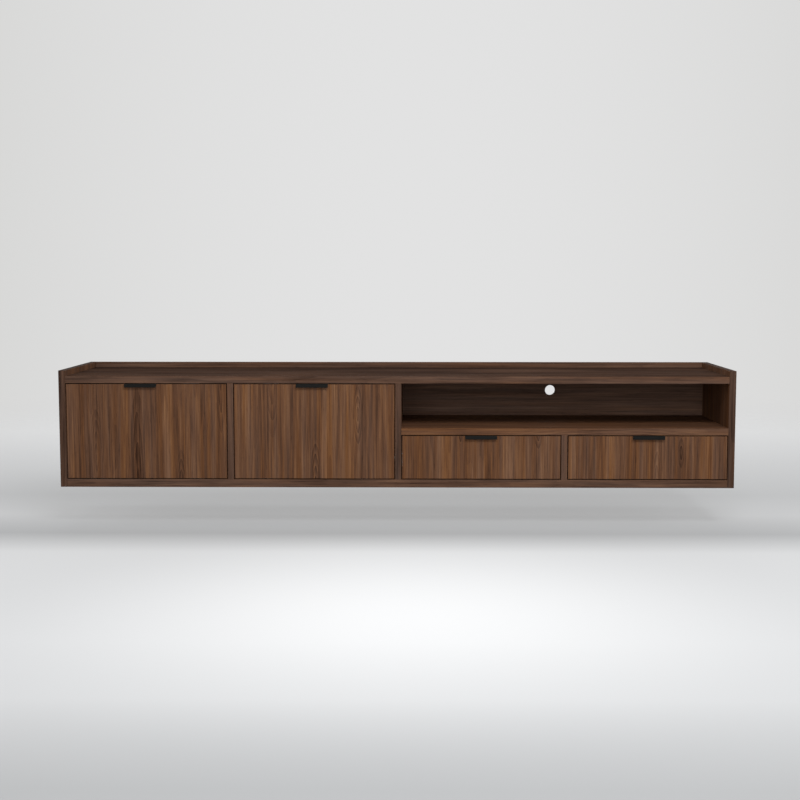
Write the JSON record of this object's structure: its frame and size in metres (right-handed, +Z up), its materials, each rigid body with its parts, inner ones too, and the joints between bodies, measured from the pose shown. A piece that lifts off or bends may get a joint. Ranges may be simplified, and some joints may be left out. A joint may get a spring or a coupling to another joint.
{
  "type": "floating media console",
  "caption": "Low walnut media console hung on a wall batten, with drop-down flaps, an open bay with a cable hole, and drawers below it.",
  "frame": {"origin": "middle of the wall batten's rear face, where the console meets the wall", "axes": "+X to the right seen from the front, +Y towards the wall, +Z up; the fronts face -Y"},
  "size_m": [2, 0.41, 0.3475],
  "materials": {
    "walnut_veneer": "crown and quarter-cut walnut veneer on board, satin lacquer",
    "birch_plywood": "birch plywood, clear matt lacquer",
    "pine_batten": "planed pine, unfinished",
    "black_powder_coat": "bent steel sheet, fine black powder coat",
    "zinc_plated_steel": "rolled steel, bright zinc plate",
    "nickel_plated_hardware": "zinc die casting and steel, satin nickel plate",
    "grey_plastic": "moulded plastic, matt"
  },
  "bodies": {
    "carcase": {"left_side_panel": "walnut_veneer", "right_side_panel": "walnut_veneer", "top_panel": "walnut_veneer", "bottom_panel": "walnut_veneer", "flap_divider": "walnut_veneer", "centre_divider": "walnut_veneer", "drawer_divider": "walnut_veneer", "shelf": "walnut_veneer", "back_panel": "walnut_veneer", "back_rail": "walnut_veneer", "hanging_rail": "pine_batten", "wall_batten": "pine_batten", "left_flap_left_hinge_base": "nickel_plated_hardware", "left_flap_right_hinge_base": "nickel_plated_hardware", "left_flap_stay_housing": "nickel_plated_hardware", "left_flap_catch": "grey_plastic", "right_flap_left_hinge_base": "nickel_plated_hardware", "right_flap_right_hinge_base": "nickel_plated_hardware", "right_flap_stay_housing": "nickel_plated_hardware", "right_flap_catch": "grey_plastic", "left_drawer_left_slide_cabinet_member": "zinc_plated_steel", "left_drawer_right_slide_cabinet_member": "zinc_plated_steel", "right_drawer_left_slide_cabinet_member": "zinc_plated_steel", "right_drawer_right_slide_cabinet_member": "zinc_plated_steel"},
    "left_flap": {"left_flap_front": "walnut_veneer", "left_flap_pull": "black_powder_coat", "left_flap_left_hinge_arm": "nickel_plated_hardware", "left_flap_right_hinge_arm": "nickel_plated_hardware", "left_flap_stay_bracket": "nickel_plated_hardware"},
    "left_flap_stay_arm": {"left_flap_stay_arm": "nickel_plated_hardware"},
    "left_flap_stay_link": {"left_flap_stay_link": "nickel_plated_hardware"},
    "right_flap": {"right_flap_front": "walnut_veneer", "right_flap_pull": "black_powder_coat", "right_flap_left_hinge_arm": "nickel_plated_hardware", "right_flap_right_hinge_arm": "nickel_plated_hardware", "right_flap_stay_bracket": "nickel_plated_hardware"},
    "right_flap_stay_arm": {"right_flap_stay_arm": "nickel_plated_hardware"},
    "right_flap_stay_link": {"right_flap_stay_link": "nickel_plated_hardware"},
    "left_drawer": {"left_drawer_front": "walnut_veneer", "left_drawer_pull": "black_powder_coat", "left_drawer_box_left_side": "birch_plywood", "left_drawer_box_right_side": "birch_plywood", "left_drawer_box_front": "birch_plywood", "left_drawer_box_back": "birch_plywood", "left_drawer_box_bottom": "birch_plywood", "left_drawer_left_slide_drawer_member": "zinc_plated_steel", "left_drawer_right_slide_drawer_member": "zinc_plated_steel"},
    "left_drawer_slide_middle": {"left_drawer_left_slide_middle_member": "zinc_plated_steel", "left_drawer_right_slide_middle_member": "zinc_plated_steel"},
    "right_drawer": {"right_drawer_front": "walnut_veneer", "right_drawer_pull": "black_powder_coat", "right_drawer_box_left_side": "birch_plywood", "right_drawer_box_right_side": "birch_plywood", "right_drawer_box_front": "birch_plywood", "right_drawer_box_back": "birch_plywood", "right_drawer_box_bottom": "birch_plywood", "right_drawer_left_slide_drawer_member": "zinc_plated_steel", "right_drawer_right_slide_drawer_member": "zinc_plated_steel"},
    "right_drawer_slide_middle": {"right_drawer_left_slide_middle_member": "zinc_plated_steel", "right_drawer_right_slide_middle_member": "zinc_plated_steel"}
  },
  "joints": [
    {"name": "left_flap_hinge", "type": "hinge", "parent": "carcase", "child": "left_flap", "pos_m": [-0.74025, -0.3935, -0.1351], "axis": [1, 0, 0], "range_deg": [0, 90]},
    {"name": "left_flap_stay_arm_pivot", "type": "hinge", "parent": "carcase", "child": "left_flap_stay_arm", "pos_m": [-0.965, -0.2835, -0.0751], "axis": [1, 0, 0], "range_deg": [0, 90]},
    {"name": "left_flap_stay_link_pivot", "type": "hinge", "parent": "left_flap", "child": "left_flap_stay_link", "pos_m": [-0.9615, -0.368, -0.0251], "axis": [1, 0, 0], "range_deg": [-90, 0]},
    {"name": "right_flap_hinge", "type": "hinge", "parent": "carcase", "child": "right_flap", "pos_m": [-0.24275, -0.3935, -0.1351], "axis": [1, 0, 0], "range_deg": [0, 90]},
    {"name": "right_flap_stay_arm_pivot", "type": "hinge", "parent": "carcase", "child": "right_flap_stay_arm", "pos_m": [-0.018, -0.2835, -0.0751], "axis": [1, 0, 0], "range_deg": [0, 90]},
    {"name": "right_flap_stay_link_pivot", "type": "hinge", "parent": "right_flap", "child": "right_flap_stay_link", "pos_m": [-0.0215, -0.368, -0.0251], "axis": [1, 0, 0], "range_deg": [-90, 0]},
    {"name": "left_drawer_slide", "type": "slide", "parent": "carcase", "child": "left_drawer", "axis": [0, -1, 0], "range_m": [0, 0.3]},
    {"name": "left_drawer_slide_middle_travel", "type": "slide", "parent": "carcase", "child": "left_drawer_slide_middle", "axis": [0, -1, 0], "range_m": [0, 0.15]},
    {"name": "right_drawer_slide", "type": "slide", "parent": "carcase", "child": "right_drawer", "axis": [0, -1, 0], "range_m": [0, 0.3]},
    {"name": "right_drawer_slide_middle_travel", "type": "slide", "parent": "carcase", "child": "right_drawer_slide_middle", "axis": [0, -1, 0], "range_m": [0, 0.15]}
  ],
  "couplings": [
    {"joint": "left_flap_stay_arm_pivot", "follows": "left_flap_hinge", "ratio": 1},
    {"joint": "left_flap_stay_link_pivot", "follows": "left_flap_hinge", "ratio": -1},
    {"joint": "right_flap_stay_arm_pivot", "follows": "right_flap_hinge", "ratio": 1},
    {"joint": "right_flap_stay_link_pivot", "follows": "right_flap_hinge", "ratio": -1},
    {"joint": "left_drawer_slide_middle_travel", "follows": "left_drawer_slide", "ratio": 0.5},
    {"joint": "right_drawer_slide_middle_travel", "follows": "right_drawer_slide", "ratio": 0.5}
  ]
}
